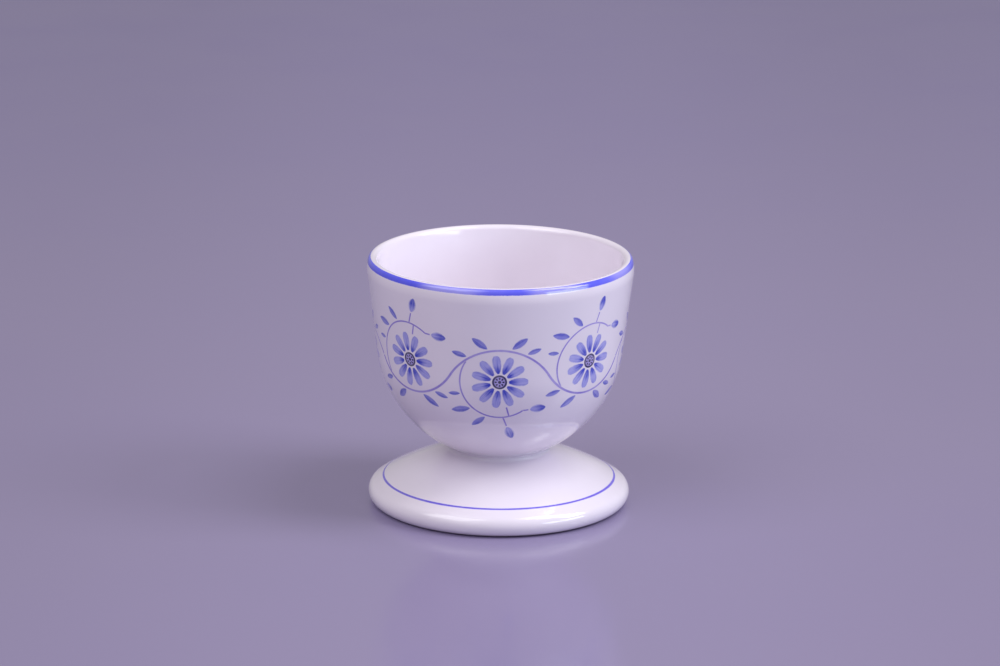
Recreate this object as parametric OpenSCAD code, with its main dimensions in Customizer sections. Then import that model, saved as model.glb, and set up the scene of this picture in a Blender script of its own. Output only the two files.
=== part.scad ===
// Porcelain egg cup: a thrown bowl luted with slip to a domed foot, with painted rings and a
// fired blue floral transfer round the bowl. Millimetres, Z up. The origin is the centre of
// the ring that the cup stands on. The porcelain is turned from arcs stepped in narrow cones,
// and each colour film is the same outline grown by the film's thickness, so it lies on the glaze.

/* [Bowl] */
// Diameter across the widest part of the rim
rim_d = 50; // [47:0.5:56]
// Height of the whole cup
cup_h = 47.5; // [45:0.5:56]
// Distance that the rim stands out past the ball that the lower bowl is rounded to
flare = 1.8; // [1.2:0.1:3]
// Thickness of the wall round the belly
wall_t = 2.3; // [1.6:0.1:3]
// Thickness of the porcelain under the hollow
floor_t = 3.2; // [2:0.1:5]
// Thickness of the lip across its rounded crest
lip_t = 1.9; // [1.4:0.1:2.4]
// Radius of the soft roll on the outside of the rim
shoulder_r = 6; // [4:0.5:8]
// Distance from the crest of the lip down to the widest part of the rim
shoulder_drop = 2.3; // [1.8:0.1:3]

/* [Foot] */
// Diameter of the foot
foot_d = 49.3; // [44:0.1:56]
// Height of the foot at its neck
foot_h = 10.4; // [8.5:0.1:12]
// Thickness of the foot's rolled edge
foot_edge_t = 4.1; // [3:0.1:5]
// Radius of the foot's gently domed top, seen from the side
foot_dome_r = 70; // [50:1:120]
// Thickness of the porcelain above the recess under the foot
foot_wall_t = 3.2; // [2.4:0.1:3.8]
// Width of the flat ring that the cup stands on
stand_w = 2.8; // [2:0.1:4]

/* [Slip joint] */
// Diameter of the pads that join the bowl to the foot
neck_d = 17.6; // [14:0.2:20]
// Thickness of the slip between the pads
slip_t = 0.4; // [0.3:0.05:0.6]
// Radius of the cove wiped round the joint, where it touches both the bowl and the foot
cove_r = 0.62; // [0.5:0.02:0.9]

/* [Painted rings] */
// Thickness of every fired colour film
film_t = 0.1; // [0.05:0.01:0.2]
// Height of the blue band on the rim
band_h = 1.1; // [0.8:0.1:1.6]
// Distance from the lip's crest line out to the upper edge of the band
band_in = 0.35; // [0.1:0.05:0.6]
// Distance from the foot's outer edge in to the middle of the blue line
line_in = 2.85; // [2.6:0.05:7]
// Width of the blue line round the foot
line_w = 0.5; // [0.3:0.05:1]

/* [Floral transfer] */
// Number of full waves in the scrolling stem
waves = 4; // [3:1:5]
// Distance from the crest of the lip down to the middle of the scroll
scroll_drop = 16.7; // [14.6:0.1:18]
// Rise of the scroll above and below its middle
scroll_rise = 5; // [4:0.1:6]
// Width of the main stem
stem_w = 0.5; // [0.3:0.05:0.8]
// Width of the thin stalks
stalk_w = 0.36; // [0.25:0.01:0.6]
// Bare gap left between neighbouring prints
print_gap = 0.2; // [0.12:0.02:0.3]
// Diameter of a daisy
daisy_d = 10.6; // [8:0.2:11.6]
// Distance from the middle of the scroll to a daisy's centre, inside its bend
daisy_shift = 1.2; // [0.8:0.1:2]
// Number of petals on a daisy
petals_n = 11; // [8:1:13]
// Diameter of a daisy's heart
heart_d = 2.8; // [2:0.1:3.4]
// Angle round a bend, from its crest, at which the curling stalk leaves the stem
curl_leave = 34; // [28:1:42]
// Bare gap between neighbouring petals where they are widest
petal_gap = 0.46; // [0.36:0.02:1]
// Length of a leaf
leaf_l = 3.6; // [2.4:0.1:4.4]
// Width of a leaf
leaf_w = 1.5; // [1:0.1:2]
// Length of a flower bud
bud_l = 3; // [2:0.1:3.6]
// Width of a flower bud
bud_w = 1.9; // [1.2:0.1:2.4]

/* [Hidden] */
$fn = 120;
// Facets on the small round prints
print_fn = 96;
// Overrun of every cut
over = 1;

// Cones that each arc of the sections is stepped in
belly_steps = 12;
shoulder_steps = 4;
lip_steps = 14;
hollow_steps = 16;
dome_steps = 6;
edge_steps = 14;
cove_steps = 8;

rim_r = rim_d / 2;
belly_r = rim_r - flare;
lip_r = lip_t / 2;
neck_r = neck_d / 2;
base_z = foot_h + slip_t;
belly_c = [0, base_z + sqrt(pow(belly_r, 2) - pow(neck_r, 2))];
base_turn = -acos(neck_r / belly_r);
shoulder_c = [rim_r - shoulder_r, cup_h - shoulder_drop];
// The lip's circle touches the shoulder's circle from inside
lip_turn = asin((shoulder_drop - lip_r) / (shoulder_r - lip_r));
lip_c = shoulder_c + (shoulder_r - lip_r) * heading(lip_turn);
// The wall is the straight line that touches the belly and the shoulder
wall_turn = outer_touch(belly_c, belly_r, shoulder_c, shoulder_r);
// The hollow: a round bottom, and a straight side that touches it and the lip
hollow_r = belly_r - wall_t;
hollow_c = [0, base_z + floor_t + hollow_r];
side_turn = inner_touch(hollow_c, hollow_r, lip_c, lip_r);

edge_r = foot_edge_t / 2;
edge_c = [foot_d / 2 - edge_r, edge_r];
// The domed top passes through the pad's rim and touches the rolled edge from inside
dome_c = circle_meet([neck_r, foot_h], foot_dome_r, edge_c, foot_dome_r - edge_r);
pad_turn = acos((neck_r - dome_c[0]) / foot_dome_r);
dome_turn = atan2(edge_c[1] - dome_c[1], edge_c[0] - dome_c[0]);
// The recess runs level with the domed top and stops below the pad
recess_r = edge_c[0] - stand_w;
recess_dome_r = foot_dome_r - foot_wall_t;
recess_turn = acos((recess_r - dome_c[0]) / recess_dome_r);
crown_turn = asin((foot_h - foot_wall_t - dome_c[1]) / recess_dome_r);

// The cove touches the foot's domed top and the bowl's ball from outside
cove_c = circle_meet(dome_c, foot_dome_r + cove_r, belly_c, belly_r + cove_r);
cove_top_turn = atan2(belly_c[1] - cove_c[1], belly_c[0] - cove_c[0]);
cove_low_turn = 360 + atan2(dome_c[1] - cove_c[1], dome_c[0] - cove_c[0]);

line_r = foot_d / 2 - line_in;

// The scroll: one bend for each half wave, drawn flat and printed square to its own azimuth
bends = 2 * waves;
bend_turn = 180 / bends;
scroll_z = cup_h - scroll_drop;
wall_low_z = belly_c[1] + belly_r * sin(wall_turn);
// Radius of the bowl at the scroll's middle: on the straight wall, or on the ball below it
scroll_r = scroll_z > wall_low_z
    ? (belly_r - sin(wall_turn) * (scroll_z - belly_c[1])) / cos(wall_turn)
    : sqrt(pow(belly_r, 2) - pow(scroll_z - belly_c[1], 2));
bend_half = scroll_r * sin(bend_turn);
bend_r = (pow(bend_half, 2) + pow(scroll_rise, 2)) / (2 * scroll_rise);
bend_c = [0, scroll_rise - bend_r];
// Neighbouring bends are printed one by one, with a hairline between them
hairline = 0.06;
bend_sweep = 2 * atan(scroll_rise / bend_half) - atan(hairline / 2 / bend_r);
daisy_c = [0, -daisy_shift];
daisy_r = daisy_d / 2;
heart_r = heart_d / 2;
petal_in = heart_r + print_gap;
// Where a petal is widest, as a share of the daisy's radius
petal_belly_share = 0.74;
petal_belly_x = petal_belly_share * daisy_r;
petal_w = 2 * petal_belly_x * sin(180 / petals_n) - petal_gap;
// The curling stalk runs round the daisy's centre, from the stem to where it turns in
curl_start = bend_c + bend_r * heading(90 + curl_leave) - daisy_c;
curl_r = norm(curl_start);
curl_from = atan2(curl_start[1], curl_start[0]);
curl_to = 306;
// Angle on the curl from which a stalk turns in to its daisy
daisy_turn = 284;
// Leaves along the curl: angle on the curl, lean from the curl's own heading, share of full size
curl_leaf_shares = [[200, -16, 0.6], [226, -34, 1], [250, -30, 0.9]];
// Leaves on the outside of each bend: angle from its crest, lean, share of full size
bend_leaf_shares = [[-34, 40, 0.8], [-12, 42, 1], [12, -42, 1], [28, -42, 0.75]];
// Buds on the curl: angle on the curl, lean, stalk as a share of the bud's length
curl_bud_shares = [[275, 14, 0.7], [curl_to, 60, 0.35]];
// Prints start at this share of the rim's radius and run out through the film
print_start_share = 0.6;
// The transfer keeps this far from the foot's pad and from the rim band
print_margin = 1;

function heading(turn) = [cos(turn), sin(turn)];
// Points along an arc, its two ends included
function arc(c, r, from, to, steps) =
    [for (i = [0 : steps]) c + r * heading(from + (to - from) * i / steps)];
// Angle of the normal of the line that touches two circles on the same, outer side
function outer_touch(c1, r1, c2, r2) =
    atan2(c2[1] - c1[1], c2[0] - c1[0]) - acos((r1 - r2) / norm(c2 - c1));
// Angle of the normal of the line that passes between two circles and touches both
function inner_touch(c1, r1, c2, r2) =
    atan2(c2[1] - c1[1], c2[0] - c1[0]) - acos((r1 + r2) / norm(c2 - c1));
// The point at given distances from two centres, on the right of the way from the first to
// the second
function circle_meet(c1, r1, c2, r2) =
    let (
        span = norm(c2 - c1),
        along = (c2 - c1) / span,
        reach = (pow(r1, 2) - pow(r2, 2) + pow(span, 2)) / (2 * span),
        away = sqrt(pow(r1, 2) - pow(reach, 2))
    )
    c1 + reach * along + away * [along[1], -along[0]];

// The bowl's outer surface from its pad to the inside of the lip, grown outwards by grow
function bowl_outline(grow) = concat(
    arc(belly_c, belly_r + grow, base_turn, wall_turn, belly_steps),
    arc(shoulder_c, shoulder_r + grow, wall_turn, lip_turn, shoulder_steps),
    arc(lip_c, lip_r + grow, lip_turn, 180 + side_turn, lip_steps)
);

// The foot's upper and outer surface from its pad to the table, grown outwards by grow
function foot_outline(grow) = concat(
    arc(dome_c, foot_dome_r + grow, pad_turn, dome_turn, dome_steps),
    arc(edge_c, edge_r + grow, dome_turn, -90, edge_steps)
);

module bowl_section() {
    polygon(concat(
        [[0, base_z]],
        bowl_outline(0),
        arc(hollow_c, hollow_r, side_turn, -90, hollow_steps)
    ));
}

module foot_section() {
    polygon(concat(
        [[0, foot_h]],
        foot_outline(0),
        [[recess_r, 0]],
        arc(dome_c, recess_dome_r, recess_turn, crown_turn, dome_steps),
        [[0, foot_h - foot_wall_t]]
    ));
}

module bowl() {
    color([0.94, 0.92, 0.97])
        rotate_extrude()
            bowl_section();
}

module foot() {
    color([0.93, 0.91, 0.96])
        rotate_extrude()
            foot_section();
}

module slip_joint() {
    color([0.9, 0.88, 0.93])
        rotate_extrude()
            difference() {
                polygon(concat(
                    [[0, base_z + cove_r]],
                    arc(cove_c, cove_r, cove_top_turn, cove_low_turn, cove_steps),
                    [[0, foot_h - cove_r]]
                ));
                foot_section();
                bowl_section();
            }
}

// A film on the bowl, between two heights and no nearer the axis than inner
module bowl_film(low, high, inner) {
    rotate_extrude()
        difference() {
            intersection() {
                polygon(concat([[0, base_z]], bowl_outline(film_t), [[0, cup_h]]));
                translate([inner, low])
                    square([rim_d, high - low]);
            }
            polygon(concat([[0, base_z]], bowl_outline(0), [[0, cup_h]]));
        }
}

module rim_band() {
    color([0.32, 0.36, 0.86])
        bowl_film(cup_h - band_h, cup_h + over, lip_c[0] + band_in);
}

module foot_line() {
    color([0.42, 0.4, 0.84])
        rotate_extrude()
            difference() {
                intersection() {
                    polygon(concat([[0, 0]], [[0, foot_h]], foot_outline(film_t)));
                    translate([line_r - line_w / 2, 0])
                        square([line_w, foot_h]);
                }
                polygon(concat([[0, 0]], [[0, foot_h]], foot_outline(0)));
            }
}

// Prints a flat drawing on the bowl, square to the azimuth of one bend. Odd bends are turned over
module printed(bend) {
    rotate([0, 0, 2 * bend_turn * bend])
        intersection() {
            rotate([0, 0, 180])
                bowl_film(base_z + print_margin, cup_h - band_h - print_margin, 0);
            translate([print_start_share * rim_r, 0, scroll_z])
                rotate([90, 0, 90])
                    mirror([0, bend % 2, 0])
                        linear_extrude(rim_r)
                            children();
        }
}

// A ring's stretch of width w between two angles of under half a turn
module arc_strip(r, w, from, to) {
    difference() {
        intersection() {
            circle(r = r + w / 2);
            polygon([
                [0, 0],
                2 * r * heading(from),
                2 * r / cos((to - from) / 4) * heading((3 * from + to) / 4),
                2 * r / cos((to - from) / 4) * heading((from + to) / 2),
                2 * r / cos((to - from) / 4) * heading((from + 3 * to) / 4),
                2 * r * heading(to)
            ]);
        }
        circle(r = r - w / 2);
    }
}

// A pointed leaf along +X that starts at the origin: two arcs of one circle
module leaf(l, w) {
    arc_r = (pow(l, 2) + pow(w, 2)) / (4 * w);
    intersection_for(side = [-1, 1])
        translate([l / 2, side * (arc_r - w / 2)])
            circle(r = arc_r, $fn = print_fn);
}

// Moves to an angle on a circle and heads along the given direction from there
module on_circle(r, turn, head) {
    translate(r * heading(turn))
        rotate(head)
            children();
}

module scroll_stems() {
    color([0.55, 0.53, 0.82])
        for (bend = [0 : bends - 1])
            printed(bend) {
                translate(bend_c)
                    arc_strip(bend_r, stem_w, 90 - bend_sweep, 90 + bend_sweep);
                translate(daisy_c) {
                    arc_strip(curl_r, stalk_w, curl_from, curl_to);
                    rotate(daisy_turn)
                        translate([daisy_r + print_gap, -stalk_w / 2])
                            square([curl_r - daisy_r - print_gap, stalk_w]);
                    for (place = curl_bud_shares)
                        on_circle(curl_r, place[0], place[0] + place[1])
                            translate([0, -stalk_w / 2])
                                square([bud_l * place[2], stalk_w]);
                }
            }
}

module scroll_leaves() {
    color([0.4, 0.42, 0.76])
        for (bend = [0 : bends - 1])
            printed(bend) {
                translate(daisy_c)
                    for (place = curl_leaf_shares)
                        on_circle(curl_r + stalk_w / 2 + print_gap, place[0], place[0] + place[1])
                            leaf(leaf_l * place[2], leaf_w * place[2]);
                translate(bend_c)
                    for (place = bend_leaf_shares)
                        on_circle(bend_r + stem_w / 2 + print_gap, 90 - place[0],
                                  90 - place[0] + place[1])
                            leaf(leaf_l * place[2], leaf_w * place[2]);
            }
}

// One petal along +X: a leaf shape, blunt where the daisy ends and clear of its heart
module petal() {
    difference() {
        intersection() {
            translate([heart_r, 0])
                leaf(2 * (petal_belly_x - heart_r), petal_w);
            circle(r = daisy_r, $fn = print_fn);
        }
        circle(r = petal_in, $fn = print_fn);
    }
}

module daisy_petals() {
    color([0.45, 0.5, 0.88])
        for (bend = [0 : bends - 1])
            printed(bend)
                translate(daisy_c)
                    for (n = [0 : petals_n - 1])
                        rotate(360 * n / petals_n)
                            petal();
}

module daisy_hearts() {
    color([0.16, 0.17, 0.45])
        for (bend = [0 : bends - 1])
            printed(bend)
                translate(daisy_c)
                    circle(r = heart_r, $fn = print_fn);
}

module flower_buds() {
    color([0.25, 0.28, 0.74])
        for (bend = [0 : bends - 1])
            printed(bend)
                translate(daisy_c)
                    for (place = curl_bud_shares)
                        on_circle(curl_r, place[0], place[0] + place[1])
                            translate([bud_l * place[2] + print_gap, 0])
                                leaf(bud_l, bud_w);
}

bowl();
foot();
slip_joint();
rim_band();
foot_line();
scroll_stems();
scroll_leaves();
daisy_petals();
daisy_hearts();
flower_buds();
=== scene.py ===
"""Footed porcelain egg cup: its glazed body, painted rings and floral transfer, with a plain studio.

The cup stands on Z = 0 with its axis on Z. All sizes are in metres.
"""
import logging
import math
from dataclasses import dataclass, field
from enum import Enum
from typing import NamedTuple

import bpy
import numpy as np
from mathutils import Matrix, Vector


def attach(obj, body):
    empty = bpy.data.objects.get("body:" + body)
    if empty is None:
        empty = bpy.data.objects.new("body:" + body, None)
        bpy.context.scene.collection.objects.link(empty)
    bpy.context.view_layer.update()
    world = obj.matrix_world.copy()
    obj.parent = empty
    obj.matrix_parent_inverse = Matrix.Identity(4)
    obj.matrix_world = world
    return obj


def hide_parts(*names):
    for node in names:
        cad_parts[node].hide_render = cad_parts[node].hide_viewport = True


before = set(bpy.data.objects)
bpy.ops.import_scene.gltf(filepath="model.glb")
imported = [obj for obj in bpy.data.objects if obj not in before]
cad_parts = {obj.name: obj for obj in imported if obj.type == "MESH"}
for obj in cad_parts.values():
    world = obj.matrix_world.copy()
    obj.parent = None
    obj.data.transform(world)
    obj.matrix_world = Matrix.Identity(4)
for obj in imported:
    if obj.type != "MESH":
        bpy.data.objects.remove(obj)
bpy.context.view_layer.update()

LOG = logging.getLogger("egg_cup")
MM = 0.001
BODY = "root"
LAY_MAP = "PrintLay"
CREASE = math.radians(40)
MIDDLE = 0.5

Triple = tuple[float, float, float]
Pair = tuple[np.ndarray, np.ndarray]
Socket = bpy.types.NodeSocket
Sockets = dict[str, Socket]
Value = float | Triple | Socket
Groups = dict[str, bpy.types.NodeTree]


class Ramp(NamedTuple):
    """A smooth step: it goes from start to end while the value that it follows goes from low to high."""

    low: Value
    high: Value
    start: Value = 0.0
    end: Value = 1.0


class Colour(Enum):
    """Fired blues of the cup, as linear red, green and blue."""

    COBALT = (0.085, 0.095, 0.86)
    PALE_COBALT = (0.34, 0.32, 0.90)
    LAVENDER = (0.42, 0.36, 0.78)
    STEM = (0.26, 0.20, 0.68)
    LEAF = (0.10, 0.115, 0.60)
    LEAF_PALE = (0.28, 0.28, 0.76)
    PETAL_PALE = (0.38, 0.38, 0.82)
    PETAL_DEEP = (0.018, 0.040, 0.56)
    INK = (0.008, 0.010, 0.075)
    LINE = (0.15, 0.11, 0.74)


class Clay(Enum):
    """Colours of bare fired clay and of its specks, as linear red, green and blue."""

    DARK = (0.60, 0.57, 0.54)
    LIGHT = (0.80, 0.78, 0.74)
    SPECK = (0.42, 0.38, 0.36)


def heading(turn: float | np.ndarray) -> np.ndarray:
    """The unit vector at each angle in radians, (cos t, sin t), in the last axis."""
    return np.stack([np.cos(turn), np.sin(turn)], -1)


def bow(centre: np.ndarray, radius: float, start: float, end: float, run: np.ndarray) -> np.ndarray:
    """Points on a circle: centre + radius (cos t, sin t), with t at given shares of the way."""
    return np.asarray(centre) + radius * heading(start + (end - start) * run)


def arc(centre: np.ndarray, radius: float, start: float, end: float, count: int) -> np.ndarray:
    """Points on a circle, as bow gives them, evenly spaced with both ends included."""
    return bow(centre, radius, start, end, np.linspace(0, 1, count))


def circle_meet(first: np.ndarray, first_r: float, second: np.ndarray, second_r: float) -> np.ndarray:
    """The point at given distances from two centres, right of the way from the first to the second.

    Args:
        first: first centre.
        first_r: distance from it.
        second: second centre.
        second_r: distance from it.

    Returns:
        The point.
    """
    span = float(np.linalg.norm(second - first))
    along = (second - first) / span
    reach = (first_r**2 - second_r**2 + span**2) / (2 * span)
    away = math.sqrt(first_r**2 - reach**2)
    return first + reach * along + away * np.array([along[1], -along[0]])


@dataclass(frozen=True)
class CupSizes:
    """Turned sizes of the cup, with the curves of its section worked out from them."""

    rim_r: float = 24.985 * MM
    height: float = 47.5 * MM
    flare: float = 1.785 * MM
    wall: float = 2.3 * MM
    floor: float = 3.2 * MM
    lip_r: float = 0.95 * MM
    shoulder_r: float = 6.0 * MM
    shoulder_drop: float = 2.3 * MM
    foot_r: float = 24.65 * MM
    foot_h: float = 10.4 * MM
    edge_r: float = 2.05 * MM
    dome_r: float = 70.0 * MM
    foot_wall: float = 3.2 * MM
    stand: float = 2.8 * MM
    soften: float = 0.35 * MM
    corner_shares: tuple[float, float] = (0.1, 0.35)
    neck_r: float = 8.8 * MM
    slip: float = 0.4 * MM
    cove_r: float = 0.62 * MM

    @property
    def base_z(self) -> float:
        """Height of the pad under the bowl."""
        return self.foot_h + self.slip

    @property
    def belly_r(self) -> float:
        """Radius of the ball that the lower bowl is rounded to."""
        return self.rim_r - self.flare

    @property
    def belly_c(self) -> np.ndarray:
        """Centre of that ball."""
        return np.array([0.0, self.base_z + math.sqrt(self.belly_r**2 - self.neck_r**2)])

    @property
    def shoulder_c(self) -> np.ndarray:
        """Centre of the soft roll on the outside of the rim."""
        return np.array([self.rim_r - self.shoulder_r, self.height - self.shoulder_drop])

    @property
    def lip_turn(self) -> float:
        """Angle at which the roll passes into the lip."""
        return math.asin((self.shoulder_drop - self.lip_r) / (self.shoulder_r - self.lip_r))

    @property
    def lip_c(self) -> np.ndarray:
        """Centre of the round of the lip."""
        return self.shoulder_c + (self.shoulder_r - self.lip_r) * heading(self.lip_turn)

    @property
    def wall_turn(self) -> float:
        """Angle of the normal of the straight wall that touches the belly and the roll.

        Returns:
            The angle above the level, in radians.
        """
        way = self.shoulder_c - self.belly_c
        reach = float(np.linalg.norm(way))
        return math.atan2(way[1], way[0]) - math.acos((self.belly_r - self.shoulder_r) / reach)

    @property
    def hollow_r(self) -> float:
        """Radius of the round bottom of the hollow."""
        return self.belly_r - self.wall

    @property
    def hollow_c(self) -> np.ndarray:
        """Centre of the round bottom of the hollow."""
        return np.array([0.0, self.base_z + self.floor + self.hollow_r])

    @property
    def side_turn(self) -> float:
        """Angle of the normal of the hollow's straight side.

        Returns:
            The angle above the level, in radians.
        """
        way = self.lip_c - self.hollow_c
        reach = float(np.linalg.norm(way))
        return math.atan2(way[1], way[0]) - math.acos((self.hollow_r + self.lip_r) / reach)

    @property
    def edge_c(self) -> np.ndarray:
        """Centre of the foot's rolled edge."""
        return np.array([self.foot_r - self.edge_r, self.edge_r])

    @property
    def dome_c(self) -> np.ndarray:
        """Centre of the foot's domed top, seen from the side."""
        pad = np.array([self.neck_r, self.foot_h])
        return circle_meet(pad, self.dome_r, self.edge_c, self.dome_r - self.edge_r)

    @property
    def pad_turn(self) -> float:
        """Angle on the dome at the pad's rim."""
        return math.acos((self.neck_r - self.dome_c[0]) / self.dome_r)

    @property
    def dome_turn(self) -> float:
        """Angle at which the dome passes into the rolled edge."""
        way = self.edge_c - self.dome_c
        return math.atan2(way[1], way[0])

    @property
    def recess_turns(self) -> tuple[float, float]:
        """Angles on the recess's dome at the standing ring and at the crown.

        Returns:
            Both angles, in radians.
        """
        radius = self.dome_r - self.foot_wall
        ring = math.acos((self.edge_c[0] - self.stand - self.dome_c[0]) / radius)
        crown = math.asin((self.foot_h - self.foot_wall - self.dome_c[1]) / radius)
        return ring, crown

    @property
    def cove_c(self) -> np.ndarray:
        """Centre of the cove that touches the foot's dome and the bowl's ball."""
        return circle_meet(self.dome_c, self.dome_r + self.cove_r, self.belly_c, self.belly_r + self.cove_r)

    def bowl_side(self, height: np.ndarray) -> tuple[np.ndarray, np.ndarray]:
        """Radius and outward slope of the bowl's outside at given heights.

        Below the wall it is the ball, sqrt(R^2 - (z - c)^2). The wall is the straight line that
        touches the ball and the roll, and above it comes the roll's own circle.

        Args:
            height: heights above the table.

        Returns:
            Radius, and the angle of the outward normal above the level, for each height.
        """
        turn = self.wall_turn
        low = self.belly_c[1] + self.belly_r * math.sin(turn)
        high = self.shoulder_c[1] + self.shoulder_r * math.sin(turn)
        on_ball = np.clip((height - self.belly_c[1]) / self.belly_r, -1, 1)
        on_roll = np.clip((height - self.shoulder_c[1]) / self.shoulder_r, -1, 1)
        straight = (self.belly_r - math.sin(turn) * (height - self.belly_c[1])) / math.cos(turn)
        radius = np.where(
            height < low,
            self.belly_r * np.sqrt(1 - on_ball**2),
            np.where(height < high, straight, self.shoulder_c[0] + self.shoulder_r * np.sqrt(1 - on_roll**2)),
        )
        normal = np.where(
            height < low, np.arcsin(on_ball), np.where(height < high, turn, np.arcsin(on_roll))
        )
        return radius, normal

    def bowl_section(self) -> np.ndarray:
        """The bowl's section from the axis under its pad, round the lip, to the axis in the hollow.

        Each line and arc ends with its count of points, and leaves its last one to the next.

        Returns:
            Radius and height of its points.
        """
        floor = self.hollow_c - np.array([0.0, self.hollow_r])
        base = -math.acos(self.neck_r / self.belly_r)
        low = self.belly_c + self.belly_r * heading(self.wall_turn)
        high = self.shoulder_c + self.shoulder_r * heading(self.wall_turn)
        inner_high = self.lip_c + self.lip_r * heading(math.pi + self.side_turn)
        inner_low = self.hollow_c + self.hollow_r * heading(self.side_turn)
        return np.concatenate([
            np.linspace([0.0, self.base_z], [self.neck_r, self.base_z], 6)[:-1],
            arc(self.belly_c, self.belly_r, base, self.wall_turn, 60)[:-1],
            np.linspace(low, high, 16)[:-1],
            arc(self.shoulder_c, self.shoulder_r, self.wall_turn, self.lip_turn, 10)[:-1],
            arc(self.lip_c, self.lip_r, self.lip_turn, math.pi + self.side_turn, 22)[:-1],
            np.linspace(inner_high, inner_low, 16)[:-1],
            arc(self.hollow_c, self.hollow_r, self.side_turn, -math.pi / 2, 50)[:-1],
            floor[None],
        ])

    def foot_section(self) -> np.ndarray:
        """The foot's section from the axis under its recess, round the edge, to the axis on its pad.

        Returns:
            Radius and height of its points.
        """
        ring, crown = self.recess_turns
        radius = self.dome_r - self.foot_wall
        inner = self.edge_c[0] - self.stand
        corner = self.soften * np.array(self.corner_shares)
        return np.concatenate([
            np.array([[0.0, self.foot_h - self.foot_wall]]),
            arc(self.dome_c, radius, crown, ring, 40)[:-1],
            np.array([[inner, self.soften], [inner + corner[0], corner[1]], [inner + self.soften, 0.0]]),
            np.linspace([inner + 2 * self.soften, 0.0], [self.edge_c[0] - self.soften, 0.0], 6),
            arc(self.edge_c, self.edge_r, -math.pi / 2, self.dome_turn, 40)[:-1],
            arc(self.dome_c, self.dome_r, self.dome_turn, self.pad_turn, 30)[:-1],
            np.linspace([self.neck_r, self.foot_h], [0.0, self.foot_h], 6),
        ])

    def slip_section(self) -> np.ndarray:
        """The slip's section: a thin disc between the pads that ends in a cove on both pieces.

        Returns:
            Radius and height of its points.
        """
        top = math.atan2(*(self.belly_c - self.cove_c)[::-1])
        low = 2 * math.pi + math.atan2(*(self.dome_c - self.cove_c)[::-1])
        touch_top = self.cove_c + self.cove_r * heading(top)
        touch_low = self.cove_c + self.cove_r * heading(low)
        ball = math.atan2(*(touch_top - self.belly_c)[::-1])
        base = -math.acos(self.neck_r / self.belly_r)
        dome = math.atan2(*(touch_low - self.dome_c)[::-1])
        return np.concatenate([
            np.linspace([0.0, self.foot_h], [self.neck_r, self.foot_h], 4)[:-1],
            arc(self.dome_c, self.dome_r, self.pad_turn, dome, 6)[:-1],
            arc(self.cove_c, self.cove_r, low, top, 24)[:-1],
            arc(self.belly_c, self.belly_r, ball, base, 6)[:-1],
            np.linspace([self.neck_r, self.base_z], [0.0, self.base_z], 4),
        ])


@dataclass(frozen=True)
class ScrollSizes:
    """Sizes of the transfer's drawing: a scroll with a daisy in every bend."""

    bends: int = 8
    middle_drop: float = 16.7 * MM
    rise: float = 5.0 * MM
    stem_w: float = 0.5 * MM
    stalk_w: float = 0.36 * MM
    gap: float = 0.2 * MM
    curl_clear: float = 0.18 * MM
    daisy_r: float = 5.3 * MM
    daisy_shift: float = 1.2 * MM
    petals: int = 11
    petal_gap: float = 0.46 * MM
    petal_tip: float = 0.20
    petal_blunt: float = 0.80
    heart_r: float = 1.4 * MM
    leave: float = math.radians(34)
    belly_share: float = 0.74
    leaf_l: float = 3.6 * MM
    leaf_w: float = 1.5 * MM
    leaf_point: float = 0.012 * MM
    bud_l: float = 3.0 * MM
    bud_w: float = 1.9 * MM
    curl_to: float = math.radians(306)
    daisy_turn: float = math.radians(284)
    curl_leaves: tuple[Triple, ...] = ((200, -16, 0.6), (226, -34, 1.0), (250, -30, 0.9))
    bend_leaves: tuple[Triple, ...] = ((-34, 40, 0.8), (-12, 42, 1.0), (12, -42, 1.0), (28, -42, 0.75))
    curl_buds: tuple[Triple, ...] = ((275, 14, 0.7), (306, 60, 0.35))


def grid_faces(rows: int, columns: int, wrap: bool) -> np.ndarray:
    """Quads of a grid of points: each joins a point, its neighbour across, and the two ahead.

    Args:
        rows: points along the first parameter.
        columns: points along the second.
        wrap: whether the last column joins the first.

    Returns:
        Four indices for each quad.
    """
    across = np.arange(columns if wrap else columns - 1)
    along = np.arange(rows - 1)[:, None]
    beside = (across + 1) % columns
    quads = [along * columns + across, along * columns + beside,
             (along + 1) * columns + beside, (along + 1) * columns + across]
    return np.stack(quads, -1).reshape(-1, 4)


def edged(count: int, step: float = 0.03) -> np.ndarray:
    """Places from 0 to 1: evenly spaced, with a narrow step at each end where a film dips into the glaze."""
    return np.concatenate([[0.0], np.linspace(step, 1 - step, count), [1.0]])


def lay_out(along: np.ndarray, across: np.ndarray, shape: tuple[int, ...]) -> np.ndarray:
    """Places in a print's drawing, along and across it from 0 to 1, for a grid of points."""
    return np.stack([np.broadcast_to(along, shape), np.broadcast_to(across, shape)], -1)


def gather(found: list[Pair]) -> Pair:
    """The patches of a drawing as one array, and the places of their points as another."""
    patches, lays = zip(*found)
    return np.array(patches), np.array(lays)


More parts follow.
